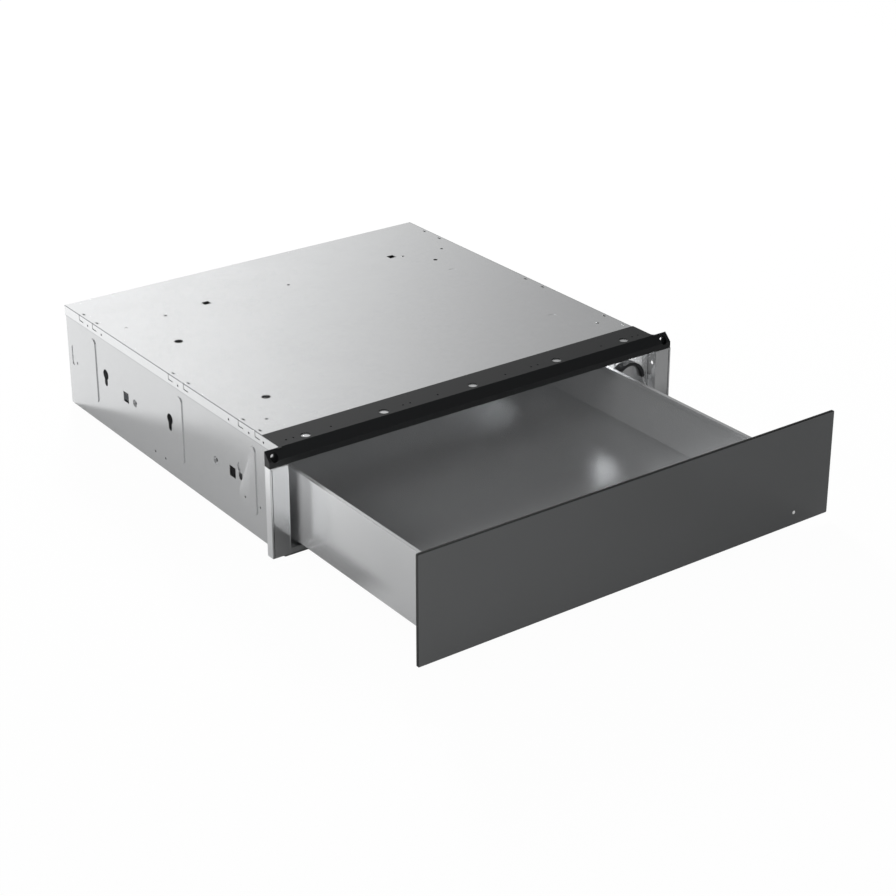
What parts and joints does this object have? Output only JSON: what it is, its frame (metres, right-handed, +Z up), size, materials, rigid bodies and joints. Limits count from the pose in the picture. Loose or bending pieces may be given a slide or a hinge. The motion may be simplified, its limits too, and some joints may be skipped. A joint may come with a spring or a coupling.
{
  "type": "built in warming drawer",
  "caption": "Low built-in warming drawer pulled open: dark glass front, steel drawer on ball slides, punched steel casing, black front rail and screw ears.",
  "frame": {"origin": "middle of the casing's footprint, on the shelf that the casing stands on", "axes": "+X right seen from the front, +Y into the cabinet, +Z up"},
  "size_m": [0.594, 0.8367, 0.1402],
  "materials": {
    "galvanised_steel": "satin",
    "black_powder_coat": "satin",
    "stainless_steel": "polished",
    "slide_steel": "satin",
    "zinc_screws": "satin",
    "front_glass": "polished",
    "silicone_mat": "matte",
    "mineral_wool": "matte",
    "cutout_plastic": "matte",
    "copper_bulb": "satin",
    "control_plastic": "matte",
    "knob_plastic": "satin",
    "shaft_steel": "satin",
    "thermostat_resin": "matte",
    "light_lens": "polished",
    "lamp_resin": "polished",
    "guide_plastic": "satin",
    "buffer_rubber": "matte",
    "latch_plastic": "matte",
    "plunger_plastic": "satin",
    "spring_steel": "satin",
    "terminal_plastic": "matte",
    "terminal_resin": "matte",
    "gland_plastic": "matte"
  },
  "bodies": {
    "casing": {"base_tray": "galvanised_steel", "left_side_panel": "galvanised_steel", "right_side_panel": "galvanised_steel", "rear_panel": "galvanised_steel", "top_cover": "galvanised_steel", "left_front_column": "galvanised_steel", "right_front_column": "galvanised_steel", "front_crossbar": "galvanised_steel", "left_slide_bracket": "galvanised_steel", "right_slide_bracket": "galvanised_steel", "air_deflector_rail": "black_powder_coat", "left_fixed_slide": "slide_steel", "right_fixed_slide": "slide_steel", "bracket_screws": "zinc_screws", "crossbar_screws": "zinc_screws", "slide_screws": "zinc_screws", "lid_screws": "zinc_screws", "rear_screws": "zinc_screws", "latch_housing": "latch_plastic", "latch_spring": "spring_steel", "terminal_box": "terminal_plastic", "terminal_lid": "terminal_plastic", "terminal_block": "terminal_resin", "cable_gland": "gland_plastic", "gland_nut": "gland_plastic"},
    "drawer": {"glass_front": "front_glass", "front_backing_plate": "galvanised_steel", "drawer_front_wall": "stainless_steel", "drawer_left_wall": "stainless_steel", "drawer_right_wall": "stainless_steel", "drawer_back_wall": "stainless_steel", "drawer_floor": "stainless_steel", "front_screws": "zinc_screws", "heating_mat": "silicone_mat", "insulation_pad": "mineral_wool", "heater_cover": "galvanised_steel", "thermal_cutout": "cutout_plastic", "temperature_sensor": "copper_bulb", "control_housing": "control_plastic", "control_fascia": "control_plastic", "thermostat_body": "thermostat_resin", "pilot_lens": "light_lens", "pilot_lamp": "lamp_resin", "wiring_bracket": "galvanised_steel", "wiring_guide": "guide_plastic", "latch_striker": "buffer_rubber", "left_drawer_slide": "slide_steel", "right_drawer_slide": "slide_steel"},
    "knob": {"temperature_knob": "knob_plastic", "knob_shaft": "shaft_steel"},
    "left_middle_member": {"left_middle_slide": "slide_steel"},
    "right_middle_member": {"right_middle_slide": "slide_steel"},
    "left_outer_balls": {"left_outer_cage": "slide_steel"},
    "right_outer_balls": {"right_outer_cage": "slide_steel"},
    "left_inner_balls": {"left_inner_cage": "slide_steel"},
    "right_inner_balls": {"right_inner_cage": "slide_steel"},
    "plunger": {"latch_plunger": "plunger_plastic"}
  },
  "joints": [
    {"name": "drawer_travel", "type": "slide", "parent": "casing", "child": "drawer", "axis": [0, -1, 0], "range_m": [-0.28, 0.15]},
    {"name": "left_middle_travel", "type": "slide", "parent": "casing", "child": "left_middle_member", "axis": [0, -1, 0], "range_m": [-0.14, 0.075]},
    {"name": "left_outer_balls_travel", "type": "slide", "parent": "casing", "child": "left_outer_balls", "axis": [0, -1, 0], "range_m": [-0.07, 0.0375]},
    {"name": "left_inner_balls_travel", "type": "slide", "parent": "casing", "child": "left_inner_balls", "axis": [0, -1, 0], "range_m": [-0.21, 0.1125]},
    {"name": "right_middle_travel", "type": "slide", "parent": "casing", "child": "right_middle_member", "axis": [0, -1, 0], "range_m": [-0.14, 0.075]},
    {"name": "right_outer_balls_travel", "type": "slide", "parent": "casing", "child": "right_outer_balls", "axis": [0, -1, 0], "range_m": [-0.07, 0.0375]},
    {"name": "right_inner_balls_travel", "type": "slide", "parent": "casing", "child": "right_inner_balls", "axis": [0, -1, 0], "range_m": [-0.21, 0.1125]},
    {"name": "knob_turn", "type": "hinge", "parent": "drawer", "child": "knob", "pos_m": [0.2395, -0.5318, 0.1], "axis": [0, 0, 1], "range_deg": [-270, 0]},
    {"name": "plunger_push", "type": "slide", "parent": "casing", "child": "plunger", "axis": [0, 1, 0], "range_m": [0, 0.003], "stiffness_N_per_m": 400, "springref_m": -0.004, "deforming": ["latch_spring"]}
  ],
  "couplings": [
    {"joint": "left_middle_travel", "follows": "drawer_travel", "ratio": 0.5},
    {"joint": "left_outer_balls_travel", "follows": "drawer_travel", "ratio": 0.25},
    {"joint": "left_inner_balls_travel", "follows": "drawer_travel", "ratio": 0.75},
    {"joint": "right_middle_travel", "follows": "drawer_travel", "ratio": 0.5},
    {"joint": "right_outer_balls_travel", "follows": "drawer_travel", "ratio": 0.25},
    {"joint": "right_inner_balls_travel", "follows": "drawer_travel", "ratio": 0.75}
  ]
}
